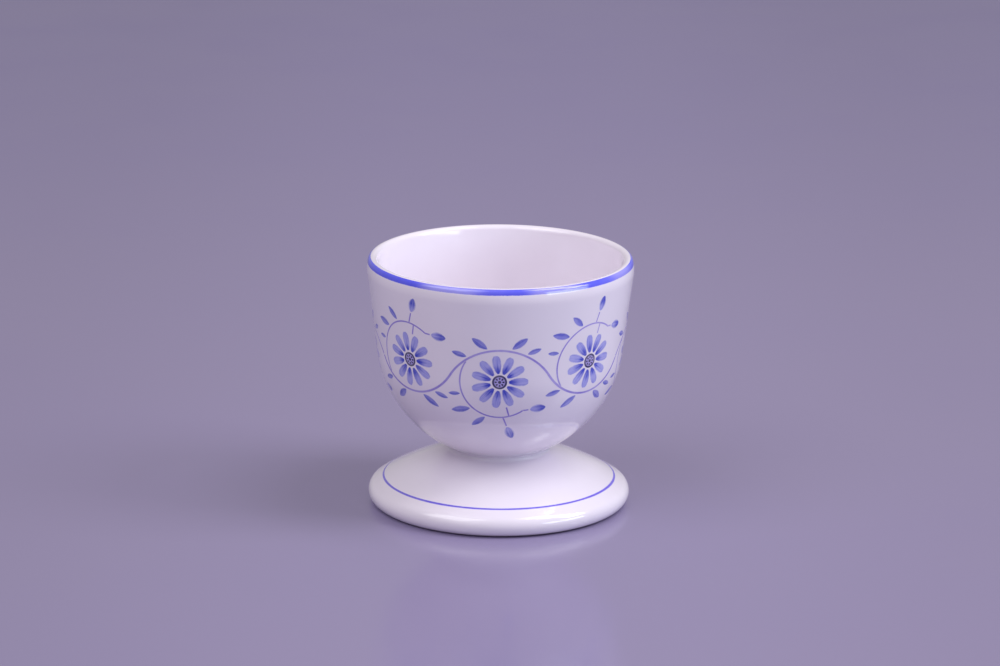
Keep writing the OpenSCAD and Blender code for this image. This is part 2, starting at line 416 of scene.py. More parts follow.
def make_piece(name: str, points: np.ndarray, faces: list[np.ndarray], lay: np.ndarray | None = None,
               dab: np.ndarray | None = None, normals: np.ndarray | None = None) -> bpy.types.Object:
    """Puts points and faces into a smooth-shaded piece at the origin.

    Args:
        name: name of the piece.
        points: its vertices, one row each.
        faces: arrays of quads or triangles.
        lay: place of each vertex in the drawing, along and across, from 0 to 1.
        dab: one value a vertex that tells the dabs of a print apart.
        normals: direction that each vertex is shaded by; without it, edges over 40 degrees stay sharp.

    Returns:
        The piece, linked to the scene.
    """
    mesh = bpy.data.meshes.new(name)
    mesh.from_pydata(points.tolist(), [], [row for part in faces for row in part.tolist()])
    corner = np.zeros(len(mesh.loops), np.int32)
    mesh.loops.foreach_get("vertex_index", corner)
    if lay is not None:
        mesh.uv_layers.new(name=LAY_MAP).uv.foreach_set("vector", lay[corner].astype(np.float32).ravel())
    if dab is not None:
        mesh.attributes.new("Dab", "FLOAT", "POINT").data.foreach_set("value", dab.astype(np.float32))
    mesh.polygons.foreach_set("use_smooth", np.ones(len(mesh.polygons), bool))
    if normals is None:
        mesh.set_sharp_from_angle(angle=CREASE)
    else:
        mesh.normals_split_custom_set_from_vertices(normals.tolist())
    piece = bpy.data.objects.new(name, mesh)
    bpy.context.scene.collection.objects.link(piece)
    return piece


def lathe(name: str, section: np.ndarray, turns: int) -> bpy.types.Object:
    """Turns a section from axis to axis about Z: (r cos a, r sin a, z), with one vertex at each pole.

    Args:
        name: name of the piece.
        section: radius and height of each point, with its first and last on the axis.
        turns: points round the axis.

    Returns:
        The closed piece.
    """
    angle = np.linspace(0, 2 * math.pi, turns, endpoint=False)
    rings = section[1:-1]
    height = np.broadcast_to(rings[:, 1:], (len(rings), turns))
    body = np.stack([rings[:, :1] * np.cos(angle), rings[:, :1] * np.sin(angle), height], -1).reshape(-1, 3)
    poles = np.array([[0, 0, section[0, 1]], [0, 0, section[-1, 1]]])
    ring = np.arange(turns)
    after = (ring + 1) % turns
    first, last = len(body), len(body) + 1
    final = (len(rings) - 1) * turns
    fan_low = np.stack([np.full(turns, first), after, ring], 1)
    fan_high = np.stack([final + ring, final + after, np.full(turns, last)], 1)
    faces = [grid_faces(len(rings), turns, True), fan_low, fan_high]
    return make_piece(name, np.concatenate([body, poles]), faces)


def lathe_strip(name: str, outline: np.ndarray, normals: np.ndarray, top: float, sink: float,
                waver: np.ndarray) -> bpy.types.Object:
    """Turns a painted strip about Z: its outline lifted by top, and back again sunk by sink.

    Args:
        name: name of the piece.
        outline: radius and height of points along the glaze, outside on the right.
        normals: outward unit vector at each of them.
        top: height of the colour over the glaze.
        sink: depth of its underside in the glaze.
        waver: shift along the outline at each angle, which makes the edges uneven.

    Returns:
        The closed ring of film.
    """
    turns = len(waver)
    angle = np.linspace(0, 2 * math.pi, turns, endpoint=False)
    share = np.linspace(0, 1, len(outline))
    along = np.gradient(outline, share, axis=0)
    along /= np.linalg.norm(along, axis=1, keepdims=True)
    shift = along[:, None] * (waver[None, :, None] * (2 * share - 1)[:, None, None])
    lift = np.where((share > 0) & (share < 1), top, -sink / 4)[:, None, None]
    outer = outline[:, None] + shift + lift * normals[:, None]
    inner = outline[:, None] + shift - sink * normals[:, None]
    loop = np.concatenate([outer, inner[::-1]])
    out = np.broadcast_to(np.concatenate([normals, -normals[::-1]])[:, None], loop.shape)
    points, shading = (
        np.stack([part[..., 0] * np.cos(angle), part[..., 0] * np.sin(angle), part[..., 1]], -1)
        for part in (loop, out)
    )
    rows = len(loop)
    ring = np.arange(turns)
    after, last = (ring + 1) % turns, (rows - 1) * turns
    faces = [grid_faces(rows, turns, True), np.stack([ring + last, after + last, after, ring], 1)]
    across = np.concatenate([share, share[::-1]])
    lay = lay_out(angle / (2 * math.pi), across[:, None], (rows, turns)).reshape(-1, 2)
    dab = np.zeros(rows * turns)
    return make_piece(name, points.reshape(-1, 3), faces, lay, dab, shading.reshape(-1, 3))


@dataclass
class Prints:
    """Lays flat drawings on the bowl as thin closed films of fired colour."""

    cup: CupSizes
    scroll: ScrollSizes
    top: float = 0.010 * MM
    step: float = 0.004 * MM
    sink: float = 0.02 * MM

    def on_bowl(self, drawing: np.ndarray, bend: np.ndarray, lift: np.ndarray) -> Pair:
        """Places drawing points on the bowl, square to the azimuth of their bend.

        A point (x, y) goes to the height of the scroll's middle plus y, turned over on odd bends.
        There it lies x to the side of the bend's own direction, at the bowl's radius R:
        sqrt(R^2 - x^2) ahead of the axis.

        Args:
            drawing: x and y of each point, in the last axis.
            bend: number of each point's bend, in the shape of the drawing without its last axis.
            lift: distance over the glaze, along its normal.

        Returns:
            Points in space and the glaze's normals there, in the same shape.
        """
        x, y = drawing[..., 0], drawing[..., 1]
        z = self.cup.height - self.scroll.middle_drop + np.where(bend % 2 == 1, -1, 1) * y
        radius, slope = self.cup.bowl_side(z)
        azimuth = 2 * math.pi * bend / self.scroll.bends + np.arcsin(x / radius)
        level = np.cos(slope)
        out = radius + lift * level
        normal = np.stack([level * np.cos(azimuth), level * np.sin(azimuth), np.sin(slope)], -1)
        return np.stack([out * np.cos(azimuth), out * np.sin(azimuth), z + lift * np.sin(slope)], -1), normal

    def film(self, name: str, patches: np.ndarray, lays: np.ndarray, dabs: np.ndarray) -> bpy.types.Object:
        """Makes every patch in every bend a closed film: a face over the glaze, one in it, and walls.

        The face stands over the glaze and dips under it along its border. A later patch lies a
        little lower than an earlier one, so that two that cross don't share a surface.

        Args:
            name: name of the piece.
            patches: drawing points, as patch, row, column, and x and y.
            lays: place along and across in the patch, in the same shape.
            dabs: one value for each bend and patch, from 0 to 1.

        Returns:
            The piece.
        """
        count, rows, columns = patches.shape[:3]
        one = rows * columns
        bends = self.scroll.bends
        all_patches = np.broadcast_to(patches, (bends, *patches.shape))
        bend = np.broadcast_to(np.arange(bends)[:, None, None, None], all_patches.shape[:-1])
        over = self.top + self.step * np.arange(count)[::-1, None, None] / count
        inside = np.zeros((rows, columns), bool)
        inside[1:-1, 1:-1] = True
        face = self.on_bowl(all_patches, bend, np.where(inside, over, -self.step))
        upper, up_way = (part.reshape(-1, one, 3) for part in face)
        lower, _ = self.on_bowl(all_patches, bend, np.array(-self.sink))
        points = np.concatenate([upper, lower.reshape(-1, one, 3)], 1).reshape(-1, 3)
        normals = np.concatenate([up_way, -up_way], 1).reshape(-1, 3)
        up = grid_faces(rows, columns, False)
        index = np.arange(one).reshape(rows, columns)
        rim = np.concatenate([index[0], index[1:, -1], index[-1, -2::-1], index[-2:0:-1, 0]])
        after = np.roll(rim, -1)
        walls = np.stack([after, rim, rim + one, after + one], 1)
        shape = np.concatenate([up, up[:, ::-1] + one, walls])
        shapes = np.where(self.turned(patches)[:, None, None], shape[None, :, ::-1], shape[None])
        odd = np.arange(bends)[:, None, None, None] % 2 == 1
        shapes = np.where(odd, shapes[None, :, :, ::-1], shapes[None])
        start = 2 * one * np.arange(bends * count)[:, None, None]
        faces = (shapes.reshape(bends * count, -1, 4) + start).reshape(-1, 4)
        lay = np.broadcast_to(lays, all_patches.shape).reshape(-1, one, 2)
        lay = np.concatenate([lay, lay], 1).reshape(-1, 2)
        return make_piece(name, points, [faces], lay, np.repeat(dabs.ravel(), 2 * one), normals)

    def turned(self, patches: np.ndarray) -> np.ndarray:
        """Whether each patch's grid runs so that its quads face into the bowl.

        The cross product of the first steps across and along has to point out of the drawing.

        Args:
            patches: drawing points, as patch, row, column, and x and y.

        Returns:
            One answer for each patch.
        """
        row, column = patches.shape[1] // 2, patches.shape[2] // 2
        middle = patches[:, row, column]
        along = patches[:, row + 1, column] - middle
        across = patches[:, row, column + 1] - middle
        return across[:, 0] * along[:, 1] - across[:, 1] * along[:, 0] < 0


@dataclass
class ScrollDrawing:
    """The flat drawing of one bend: x to the side and y up, from the middle of the scroll."""

    cup: CupSizes
    sizes: ScrollSizes
    half: float = field(init=False)
    radius: float = field(init=False)
    centre: np.ndarray = field(init=False)
    daisy: np.ndarray = field(init=False)
    curl_r: float = field(init=False)
    curl_from: float = field(init=False)

    def __post_init__(self) -> None:
        """Works out the bend's circle and the circle of the curling stalk from the sizes."""
        s = self.sizes
        at, _ = self.cup.bowl_side(np.array(self.cup.height - s.middle_drop))
        self.half = float(at) * math.sin(math.pi / s.bends)
        self.radius = (self.half**2 + s.rise**2) / (2 * s.rise)
        self.centre = np.array([0.0, s.rise - self.radius])
        self.daisy = np.array([0.0, -s.daisy_shift])
        start = self.centre + self.radius * heading(math.pi / 2 + s.leave) - self.daisy
        self.curl_r = float(np.linalg.norm(start))
        self.curl_from = math.atan2(start[1], start[0])

    def strip(self, line: np.ndarray, width: float, run: np.ndarray, columns: int = 5) -> Pair:
        """A strip along a line: each point moves by up to half the width to both sides.

        Args:
            line: x and y of points along the line.
            width: width of the strip.
            run: share of the way along the line at each of its points.
            columns: points across.

        Returns:
            The patch, and the place of its points along and across.
        """
        step = np.gradient(line, axis=0)
        side = np.stack([-step[:, 1], step[:, 0]], 1) / np.linalg.norm(step, axis=1, keepdims=True)
        across = edged(columns)
        patch = line[:, None] + side[:, None] * width * (across - 0.5)[:, None]
        return patch, lay_out(run[:, None], across, patch.shape[:2])

    def leaf(self, length: float, width: float, root: np.ndarray, turn: float, rows: int = 13,
             columns: int = 7) -> Pair:
        """A pointed leaf between two arcs of one circle, from its root along a direction.

        The arcs have the radius (l^2 + w^2) / 4w, so the half width at a distance d from the
        leaf's middle is sqrt(radius^2 - d^2) - (radius - w/2).

        Args:
            length: tip to tip.
            width: greatest width.
            root: x and y of the root.
            turn: direction of the leaf, in radians.
            rows: points along it.
            columns: points across it.

        Returns:
            The patch, and the place of its points along and across.
        """
        radius = (length**2 + width**2) / (4 * width)
        along = (1 - np.cos(np.linspace(0, math.pi, rows))) / 2
        far = (along - 0.5) * length
        wide = np.sqrt(np.maximum(radius**2 - far**2, 0)) - (radius - width / 2)
        wide = np.maximum(wide, self.sizes.leaf_point)
        across = 2 * edged(columns) - 1
        out = heading(turn)
        side = np.array([-out[1], out[0]])
        patch = root + along[:, None, None] * length * out + (wide[:, None] * across)[..., None] * side
        return patch, lay_out(along[:, None], (across + 1) / 2, patch.shape[:2])

    def stems(self) -> Pair:
        """The bend of the main stem, its curling stalk, the daisy's stalk and the buds' stalks.

        The curling stalk starts where the circle round the daisy comes clear of the main stem.

        Returns:
            The patches, and the places of their points along and across.
        """
        s = self.sizes
        dip, samples, run_on = 0.003, 400, 0.3
        run = edged(47, dip)
        sweep = 2 * math.atan(s.rise / self.half) * (1 + 2 * dip)
        main = bow(self.centre, self.radius, math.pi / 2 + sweep, math.pi / 2 - sweep, run)
        ring = arc(self.daisy, self.curl_r, self.curl_from, s.curl_to, samples)
        clear = self.radius - np.linalg.norm(ring - self.centre, axis=1) > s.curl_clear
        leave = self.curl_from + (s.curl_to - self.curl_from) * np.argmax(clear) / (samples - 1)
        end = s.curl_to + run_on * s.stalk_w / self.curl_r
        curl = bow(self.daisy, self.curl_r, leave, end, run)
        reach = self.curl_r + (s.daisy_r - self.curl_r) * run[:, None]
        inward = self.daisy + reach * heading(s.daisy_turn)
        found = [self.strip(main, s.stem_w, run), self.strip(curl, s.stalk_w, run),
                 self.strip(inward, s.stalk_w, run)]
        for angle, lean, share in s.curl_buds:
            root = self.daisy + self.curl_r * heading(math.radians(angle))
            reach = s.bud_l * share * run[:, None] * heading(math.radians(angle + lean))
            found.append(self.strip(root + reach, s.stalk_w, run))
        return gather(found)

    def leaves(self) -> Pair:
        """The leaves along the curling stalk and those on the outside of the bend.

        Returns:
            The patches, and the places of their points along and across.
        """
        s = self.sizes
        found = []
        for angle, lean, share in s.curl_leaves:
            root = self.daisy + (self.curl_r + s.stalk_w / 2 + s.gap) * heading(math.radians(angle))
            found.append(self.leaf(s.leaf_l * share, s.leaf_w * share, root, math.radians(angle + lean)))
        for angle, lean, share in s.bend_leaves:
            turn = math.radians(90 - angle)
            root = self.centre + (self.radius + s.stem_w / 2 + s.gap) * heading(turn)
            found.append(self.leaf(s.leaf_l * share, s.leaf_w * share, root, turn + math.radians(lean)))
        return gather(found)

    def buds(self) -> Pair:
        """The buds at the ends of their stalks.

        Returns:
            The patches, and the places of their points along and across.
        """
        s = self.sizes
        found = []
        for angle, lean, share in s.curl_buds:
            turn = math.radians(angle + lean)
            root = self.daisy + self.curl_r * heading(math.radians(angle))
            root = root + (s.bud_l * share + s.gap) * heading(turn)
            found.append(self.leaf(s.bud_l, s.bud_w, root, turn, 15, 9))
        return gather(found)

    def petals(self, rows: int = 17, columns: int = 9) -> Pair:
        """The daisy's petals, as whole arrays.

        A petal's point lies at the distance d from the daisy's centre and y to the side of the
        petal's own direction: (sqrt(d^2 - y^2), y), where y runs over the petal's width at d.
        The width is a leaf's, with its tip rounded off.

        Args:
            rows: points along a petal.
            columns: points across it.

        Returns:
            The patches, and the places of their points along and across.
        """
        s = self.sizes
        belly = s.belly_share * s.daisy_r
        width = 2 * belly * math.sin(math.pi / s.petals) - s.petal_gap
        length = 2 * (belly - s.heart_r)
        radius = (length**2 + width**2) / (4 * width)
        along = edged(rows)
        inner = s.heart_r + s.gap
        far = inner + along * (s.daisy_r - inner)
        wide = np.sqrt(radius**2 - (far - belly) ** 2) - (radius - width / 2)
        tip = np.clip((along - (1 - s.petal_tip)) / s.petal_tip, 0, 1)
        wide = wide * np.sqrt(1 - s.petal_blunt * tip**2)
        across = 2 * edged(columns) - 1
        y = wide[:, None] * across
        x = np.sqrt(far[:, None] ** 2 - y**2)
        turn = 2 * math.pi * np.arange(s.petals)[:, None, None] / s.petals
        patch = np.stack([x * np.cos(turn) - y * np.sin(turn), x * np.sin(turn) + y * np.cos(turn)], -1)
        return patch + self.daisy, lay_out(along[:, None], (across + 1) / 2, patch.shape[:3])

    def heart(self, side: int = 25) -> Pair:
        """The daisy's heart: a square grid drawn out to a disc, (a sqrt(1 - b^2/2), b sqrt(1 - a^2/2)).

        Args:
            side: points along each side of the grid.

        Returns:
            One patch, and the places of its points along and across.
        """
        ways = 2 * edged(side) - 1
        a, b = np.meshgrid(ways, ways, indexing="ij")
        disc = np.stack([a * np.sqrt(1 - b**2 / 2), b * np.sqrt(1 - a**2 / 2)], -1)
        return (self.daisy + self.sizes.heart_r * disc)[None], ((disc + 1) / 2)[None]


@dataclass(frozen=True)
class Grain:
    """Scales of the noises in glaze, ink, clay and table, in waves to the metre."""

    cloud: float = 70.0
    speck: float = 210.0
    speck_patch: float = 90.0
    sheen: float = 260.0
    ripple: float = 55.0
    pit: float = 900.0
    brush: float = 2600.0
    ink_cloud: float = 700.0
    ink_tone: float = 75.0
    bare_edge: float = 900.0
    clay: float = 2500.0
    table_cloud: float = 9.0
    table_sheen: float = 40.0


GRAIN = Grain()


class Bench:
    """Lays out the nodes of one material or node group."""

    def __init__(self, tree: bpy.types.NodeTree) -> None:
        """Starts on a node tree."""
        self.tree = tree

    def node(self, kind: str, **settings: object) -> bpy.types.Node:
        """Adds a node to the right of the last one.

        Args:
            kind: kind of the node.
            **settings: its settings by name.

        Returns:
            The node.
        """
        made = self.tree.nodes.new(kind)
        made.location = (220 * (len(self.tree.nodes) - 1), 0)
        for key, value in settings.items():
            setattr(made, key, value)
        return made

    def feed(self, socket: Socket, value: Value) -> None:
        """Links a socket to another one, or sets its plain value.

        Args:
            socket: the input that takes the value.
            value: an output to link, a number or a colour.
        """
        if isinstance(value, bpy.types.NodeSocket):
            self.tree.links.new(value, socket)
        elif socket.type == "RGBA":
            socket.default_value = (*value, 1.0)
        else:
            socket.default_value = value

    def maths(self, operation: str, *values: Value, clamp: bool = False) -> Socket:
        """One arithmetic step.

        Args:
            operation: name of the step.
            *values: its one to three numbers.
            clamp: whether the result is kept from 0 to 1.

        Returns:
            The result.
        """
        made = self.node("ShaderNodeMath", operation=operation, use_clamp=clamp)
        for socket, value in zip(made.inputs, values):
            self.feed(socket, value)
        return made.outputs[0]

    def away(self, value: Value, middle: float) -> Socket:
        """Distance of a value from a middle one: |value - middle|."""
        return self.maths("ABSOLUTE", self.maths("SUBTRACT", value, middle))

    def spread(self, share: Value) -> Socket:
        """A place from -1 to 1 for one from 0 to 1: 2 share - 1."""
        return self.maths("MULTIPLY_ADD", share, 2.0, -1.0)

    def ease(self, value: Value, ramp: Ramp) -> Socket:
        """A smooth step that follows a value.

        Args:
            value: the value that it follows.
            ramp: where the step begins and is over, and its results there.

        Returns:
            The result.
        """
        made = self.node("ShaderNodeMapRange", interpolation_type="SMOOTHSTEP")
        for socket, number in zip(made.inputs, (value, *ramp)):
            self.feed(socket, number)
        return made.outputs[0]

    def mix(self, share: Value, first: Value, second: Value) -> Socket:
        """A colour between two others.

        Args:
            share: share of the second colour.
            first: colour at the share 0.
            second: colour at the share 1.

        Returns:
            The mixed colour.
        """
        made = self.node("ShaderNodeMix", data_type="RGBA")
        sockets = {socket.identifier: socket for socket in (*made.inputs, *made.outputs)}
        for name, value in (("Factor_Float", share), ("A_Color", first), ("B_Color", second)):
            self.feed(sockets[name], value)
        return sockets["Result_Color"]

    def noise(self, place: Socket, scale: float, detail: float = 2.0) -> Socket:
        """Cloudy noise from 0 to 1.

        Args:
            place: the point that it is read at.
            scale: waves to the unit of that point.
            detail: how much finer noise lies on it.

        Returns:
            The noise.
        """
        made = self.node("ShaderNodeTexNoise")
        self.feed(made.inputs["Vector"], place)
        made.inputs["Scale"].default_value = scale
        made.inputs["Detail"].default_value = detail
        return made.outputs[0]

    def place(self) -> Socket:
        """The point on the piece, in metres."""
        return self.node("ShaderNodeTexCoord").outputs["Object"]

    def parts(self, vector: Socket) -> tuple[Socket, Socket, Socket]:
        """The three numbers of a vector.

        Args:
            vector: the vector.

        Returns:
            Its X, Y and Z.
        """
        made = self.node("ShaderNodeSeparateXYZ")
        self.feed(made.inputs[0], vector)
        return tuple(made.outputs)

    def group(self, tree: bpy.types.NodeTree, **values: Value) -> Sockets:
        """Places a shared group with its own values.

        Args:
            tree: the group.
            **values: values of its inputs by name.

        Returns:
            Its outputs by name.
        """
        made = self.node("ShaderNodeGroup", node_tree=tree)
        for name, value in values.items():
            self.feed(made.inputs[name], value)
        return {socket.name: socket for socket in made.outputs}


def new_group(name: str, inputs: dict[str, str], outputs: dict[str, str]) -> tuple[Bench, Sockets, Sockets]:
    """Starts a shader node group with named sockets.

    Args:
        name: name of the group.
        inputs: kind of each input socket.
        outputs: kind of each output socket.

    Returns:
        The group's bench, its inputs' sockets inside, and its outputs' sockets inside.
    """
    tree = bpy.data.node_groups.new(name, "ShaderNodeTree")
    for sockets, side in ((inputs, "INPUT"), (outputs, "OUTPUT")):
        for socket, kind in sockets.items():
            tree.interface.new_socket(name=socket, in_out=side, socket_type="NodeSocket" + kind)
    bench = Bench(tree)
    start, end = bench.node("NodeGroupInput"), bench.node("NodeGroupOutput")
    get = {socket.name: socket for socket in start.outputs if socket.name}
    put = {socket.name: socket for socket in end.inputs if socket.name}
    return bench, get, put


def new_material(name: str) -> tuple[bpy.types.Material, Bench, bpy.types.Node]:
    """Starts a material.

    Args:
        name: name of the material.

    Returns:
        The material, its bench and its shader.
    """
    made = bpy.data.materials.new(name)
    made.use_nodes = True
    shader = next(node for node in made.node_tree.nodes if node.type == "BSDF_PRINCIPLED")
    return made, Bench(made.node_tree), shader


@dataclass(frozen=True)
class GlazeTexture:
    """Glazed porcelain: its colour with faint clouds and specks, its roughness and its waver.

    The tone is deeper in the neck and under the bowl: pooled glaze there, and painted shade as well.
    """

    # painted shade with the pooled glaze: the tint rises over the foot's pad and fades out up the underside
    # of the bowl
    pool_and_shade_over_foot: Ramp = Ramp(9.6 * MM, 10.6 * MM)
    pool_and_shade_under_bowl: Ramp = Ramp(11.0 * MM, 15.5 * MM, 1.0, 0.0)
    pool_and_shade_share: float = 0.45
    cloud: Ramp = Ramp(0.35, 0.75, 0.0, 0.14)
    cloud_detail: float = 3.0
    speck: Ramp = Ramp(0.012, 0.03, 0.5, 0.0)
    speck_patch: Ramp = Ramp(0.60, 0.66)
    roughness: Ramp = Ramp(0.3, 0.8, 0.10, 0.17)
    wave_height: float = 0.8
    pit_height: float = 0.008
    height_detail: float = 1.0

    def group(self) -> bpy.types.NodeTree:
        """Builds the shared group.

        Returns:
            The group.
        """
        bench, get, put = new_group("Glazed body", {"Place": "Vector", "Body": "Color", "PoolAndShade": "Color"},
                                    {"Colour": "Color", "Roughness": "Float", "Height": "Float"})
        place = get["Place"]
        height = bench.parts(place)[2]
        cloud = bench.noise(place, GRAIN.cloud, self.cloud_detail)
        over_foot = bench.ease(height, self.pool_and_shade_over_foot)
        # share of the deeper tint: pooled glaze, with painted shade under the bowl
        pooled_and_shaded = bench.maths("MULTIPLY", over_foot, bench.ease(height, self.pool_and_shade_under_bowl))
        clouded = bench.ease(cloud, self.cloud)
        share = bench.maths("ADD", bench.maths("MULTIPLY", pooled_and_shaded, self.pool_and_shade_share), clouded, clamp=True)
        tinted = bench.mix(share, get["Body"], get["PoolAndShade"])
        speck = bench.node("ShaderNodeTexVoronoi")
        bench.feed(speck.inputs["Vector"], place)
        speck.inputs["Scale"].default_value = GRAIN.speck
        dot = bench.ease(speck.outputs["Distance"], self.speck)
        patch = bench.ease(bench.noise(place, GRAIN.speck_patch), self.speck_patch)
        kept = bench.maths("MULTIPLY", dot, patch)
        bench.feed(put["Colour"], bench.mix(kept, tinted, Clay.SPECK.value))
        bench.feed(put["Roughness"], bench.ease(bench.noise(place, GRAIN.sheen), self.roughness))
        ripple = bench.noise(place, GRAIN.ripple, self.height_detail)
        wave = bench.maths("MULTIPLY", ripple, self.wave_height)
        pitting = bench.noise(place, GRAIN.pit, self.height_detail)
        pits = bench.maths("MULTIPLY", pitting, self.pit_height)
        bench.feed(put["Height"], bench.maths("ADD", wave, pits))
        return bench.tree


@dataclass(frozen=True)
class BrushEdge:
    """Ink that thins out towards the border of a print, with an uneven brush edge and streaks.

    The share of ink rises from nothing at the border to the full over Side across the print and
    over End along it, each moved by fine noise. Streaks run along the print.
    """

    ragged: float = 0.10
    round_off: float = 0.35
    cloud: Ramp = Ramp(0.25, 0.75, -1.0, 0.3)
    cloud_detail: float = 3.0
    stretch: Triple = (1.6, 8.0, 37.0)
    streak: Ramp = Ramp(0.34, 0.66, -1.0, 1.0)

    def border(self, bench: Bench, value: Socket, width: Socket, ragged: Socket) -> Socket:
        """The share of ink at a place from 0 to 1 between two borders, which are moved by ragged."""
        inside = bench.maths("ADD", bench.maths("SUBTRACT", MIDDLE, bench.away(value, MIDDLE)), ragged)
        return bench.maths("SMOOTH_MIN", bench.maths("DIVIDE", inside, width), 1.0, self.round_off)

    def group(self) -> bpy.types.NodeTree:
        """Builds the shared group.

        Returns:
            The group.
        """
        numbers = ("Along", "Across", "Side", "End", "Streaks", "Dab", "Grain")
        bench, get, put = new_group("Soft brush edge", {"Place": "Vector", **dict.fromkeys(numbers, "Float")},
                                    {"Ink": "Float", "Wash": "Float"})
        fine = bench.noise(get["Place"], GRAIN.brush)
        ragged = bench.maths("MULTIPLY_ADD", fine, self.ragged, -self.ragged / 2)
        side = self.border(bench, get["Across"], get["Side"], ragged)
        sides = bench.maths("MULTIPLY", side, self.border(bench, get["Along"], get["End"], ragged))
        cloud = bench.ease(bench.noise(get["Place"], GRAIN.ink_cloud, self.cloud_detail), self.cloud)
        full = bench.maths("MULTIPLY_ADD", cloud, get["Grain"], 1.0)
        bench.feed(put["Ink"], bench.maths("MULTIPLY", bench.maths("MAXIMUM", sides, 0.0), full, clamp=True))
        line = bench.node("ShaderNodeCombineXYZ")
        for socket, name, stretch in zip(line.inputs, ("Along", "Across", "Dab"), self.stretch):
            bench.feed(socket, bench.maths("MULTIPLY", get[name], stretch))
        streak = bench.ease(bench.noise(line.outputs[0], 1.0), self.streak)
        bench.feed(put["Wash"], bench.maths("MULTIPLY", streak, get["Streaks"]))
        return bench.tree


@dataclass(frozen=True)
class Glaze:
    """The glossy clear glaze over white porcelain, bare on the standing ring where it has one."""

    name: str
    body: Triple = (0.85, 0.785, 0.885)
    # tone of pooled glaze, deepened by painted shade for the neck and the underside of the bowl
    pool_and_shade: Triple = (0.66, 0.60, 0.73)
    ior: float = 1.5
    coat: float = 0.6
    coat_roughness: float = 0.03
    bump: float = 0.10
    bump_depth: float = 0.4 * MM
    bare_ring: bool = False
    bare_z: Ramp = Ramp(0.14 * MM, 0.24 * MM, 1.0, 0.0)
    bare_waver: float = 0.2 * MM
    bare_roughness: float = 0.75
    clay_detail: float = 4.0

    def start(self, groups: Groups) -> tuple[bpy.types.Material, Bench, bpy.types.Node, Sockets]:
        """Makes the glossy material with its waver.

        Args:
            groups: the shared node groups.

        Returns:
            The material, its bench, its shader, and the outputs of the glaze's group.
        """
        made, bench, shader = new_material(self.name)
        glazed = bench.group(groups["glaze"], Place=bench.place(), Body=self.body, PoolAndShade=self.pool_and_shade)
        shader.inputs["IOR"].default_value = self.ior
        shader.inputs["Coat IOR"].default_value = self.ior
        shader.inputs["Coat Roughness"].default_value = self.coat_roughness
        shader.inputs["Coat Weight"].default_value = self.coat
        bump = bench.node("ShaderNodeBump")
        bump.inputs["Strength"].default_value = self.bump
        bump.inputs["Distance"].default_value = self.bump_depth
        bench.feed(bump.inputs["Height"], glazed["Height"])
        bench.feed(shader.inputs["Normal"], bump.outputs[0])
        return made, bench, shader, glazed

    def dress(self, piece: bpy.types.Object, groups: Groups) -> None:
        """Gives a piece this glaze.

        Args:
            piece: the piece to dress.
            groups: the shared node groups.
        """
        made, bench, shader, glazed = self.start(groups)
        colour, rough = glazed["Colour"], glazed["Roughness"]
        if self.bare_ring:
            place = bench.place()
            height = bench.parts(place)[2]
            edge = bench.noise(place, GRAIN.bare_edge)
            bare = bench.ease(bench.maths("MULTIPLY_ADD", edge, self.bare_waver, height), self.bare_z)
            grains = bench.noise(place, GRAIN.clay, self.clay_detail)
            grain = bench.mix(grains, Clay.DARK.value, Clay.LIGHT.value)
            colour = bench.mix(bare, colour, grain)
            rough = bench.maths("MAXIMUM", rough, bench.maths("MULTIPLY", bare, self.bare_roughness))
            bench.feed(shader.inputs["Coat Weight"], bench.maths("MULTIPLY_ADD", bare, -self.coat, self.coat))
        bench.feed(shader.inputs["Base Color"], colour)
        bench.feed(shader.inputs["Roughness"], rough)
        piece.data.materials.append(made)


class Figure(Enum):
    """What a print shows, which settles how its ink lies."""

    BAND = "band"
    STEM = "stem"
    LEAF = "leaf"
    PETAL = "petal"
    HEART = "heart"
    BUD = "bud"


@dataclass(frozen=True)
class Strokes:
    """Smooth steps of tone in each figure: along it, or off its middle for veins, ribs and rims."""

    petal_root: Ramp = Ramp(0.05, 0.42, 1.0, 0.0)
    petal_root_spread: float = 0.38
    petal_vein: Ramp = Ramp(0.0, 0.30, 0.45, 0.0)
    vein_fade: Ramp = Ramp(0.25, 0.85, 1.0, 0.0)
    petal_rim: Ramp = Ramp(0.45, 0.85, 0.0, 0.30)
    rim_rise: Ramp = Ramp(0.3, 0.9)
    leaf_rib: Ramp = Ramp(0.0, 0.16, -0.30, 0.0)
    leaf_halves: Ramp = Ramp(0.40, 0.60, 0.30, 0.85)
    bud_rib: Ramp = Ramp(0.05, 0.30, -0.25, 0.0)
    bud_tip: Ramp = Ramp(0.15, 0.75, 0.15, 0.95)
    line_cloud: Ramp = Ramp(0.34, 0.52, 0.10, 1.0)
    heart_dots: int = 8
    heart_dot: Ramp = Ramp(-0.6, 0.2)
    heart_ring: Ramp = Ramp(0.10, 0.19, 1.0, 0.0)
    heart_ring_at: float = 0.50
    heart_rim: Ramp = Ramp(0.08, 0.18, 0.95, 0.0)
    heart_rim_at: float = 0.86
    heart_middle: Ramp = Ramp(0.16, 0.27, 1.0, 0.0)


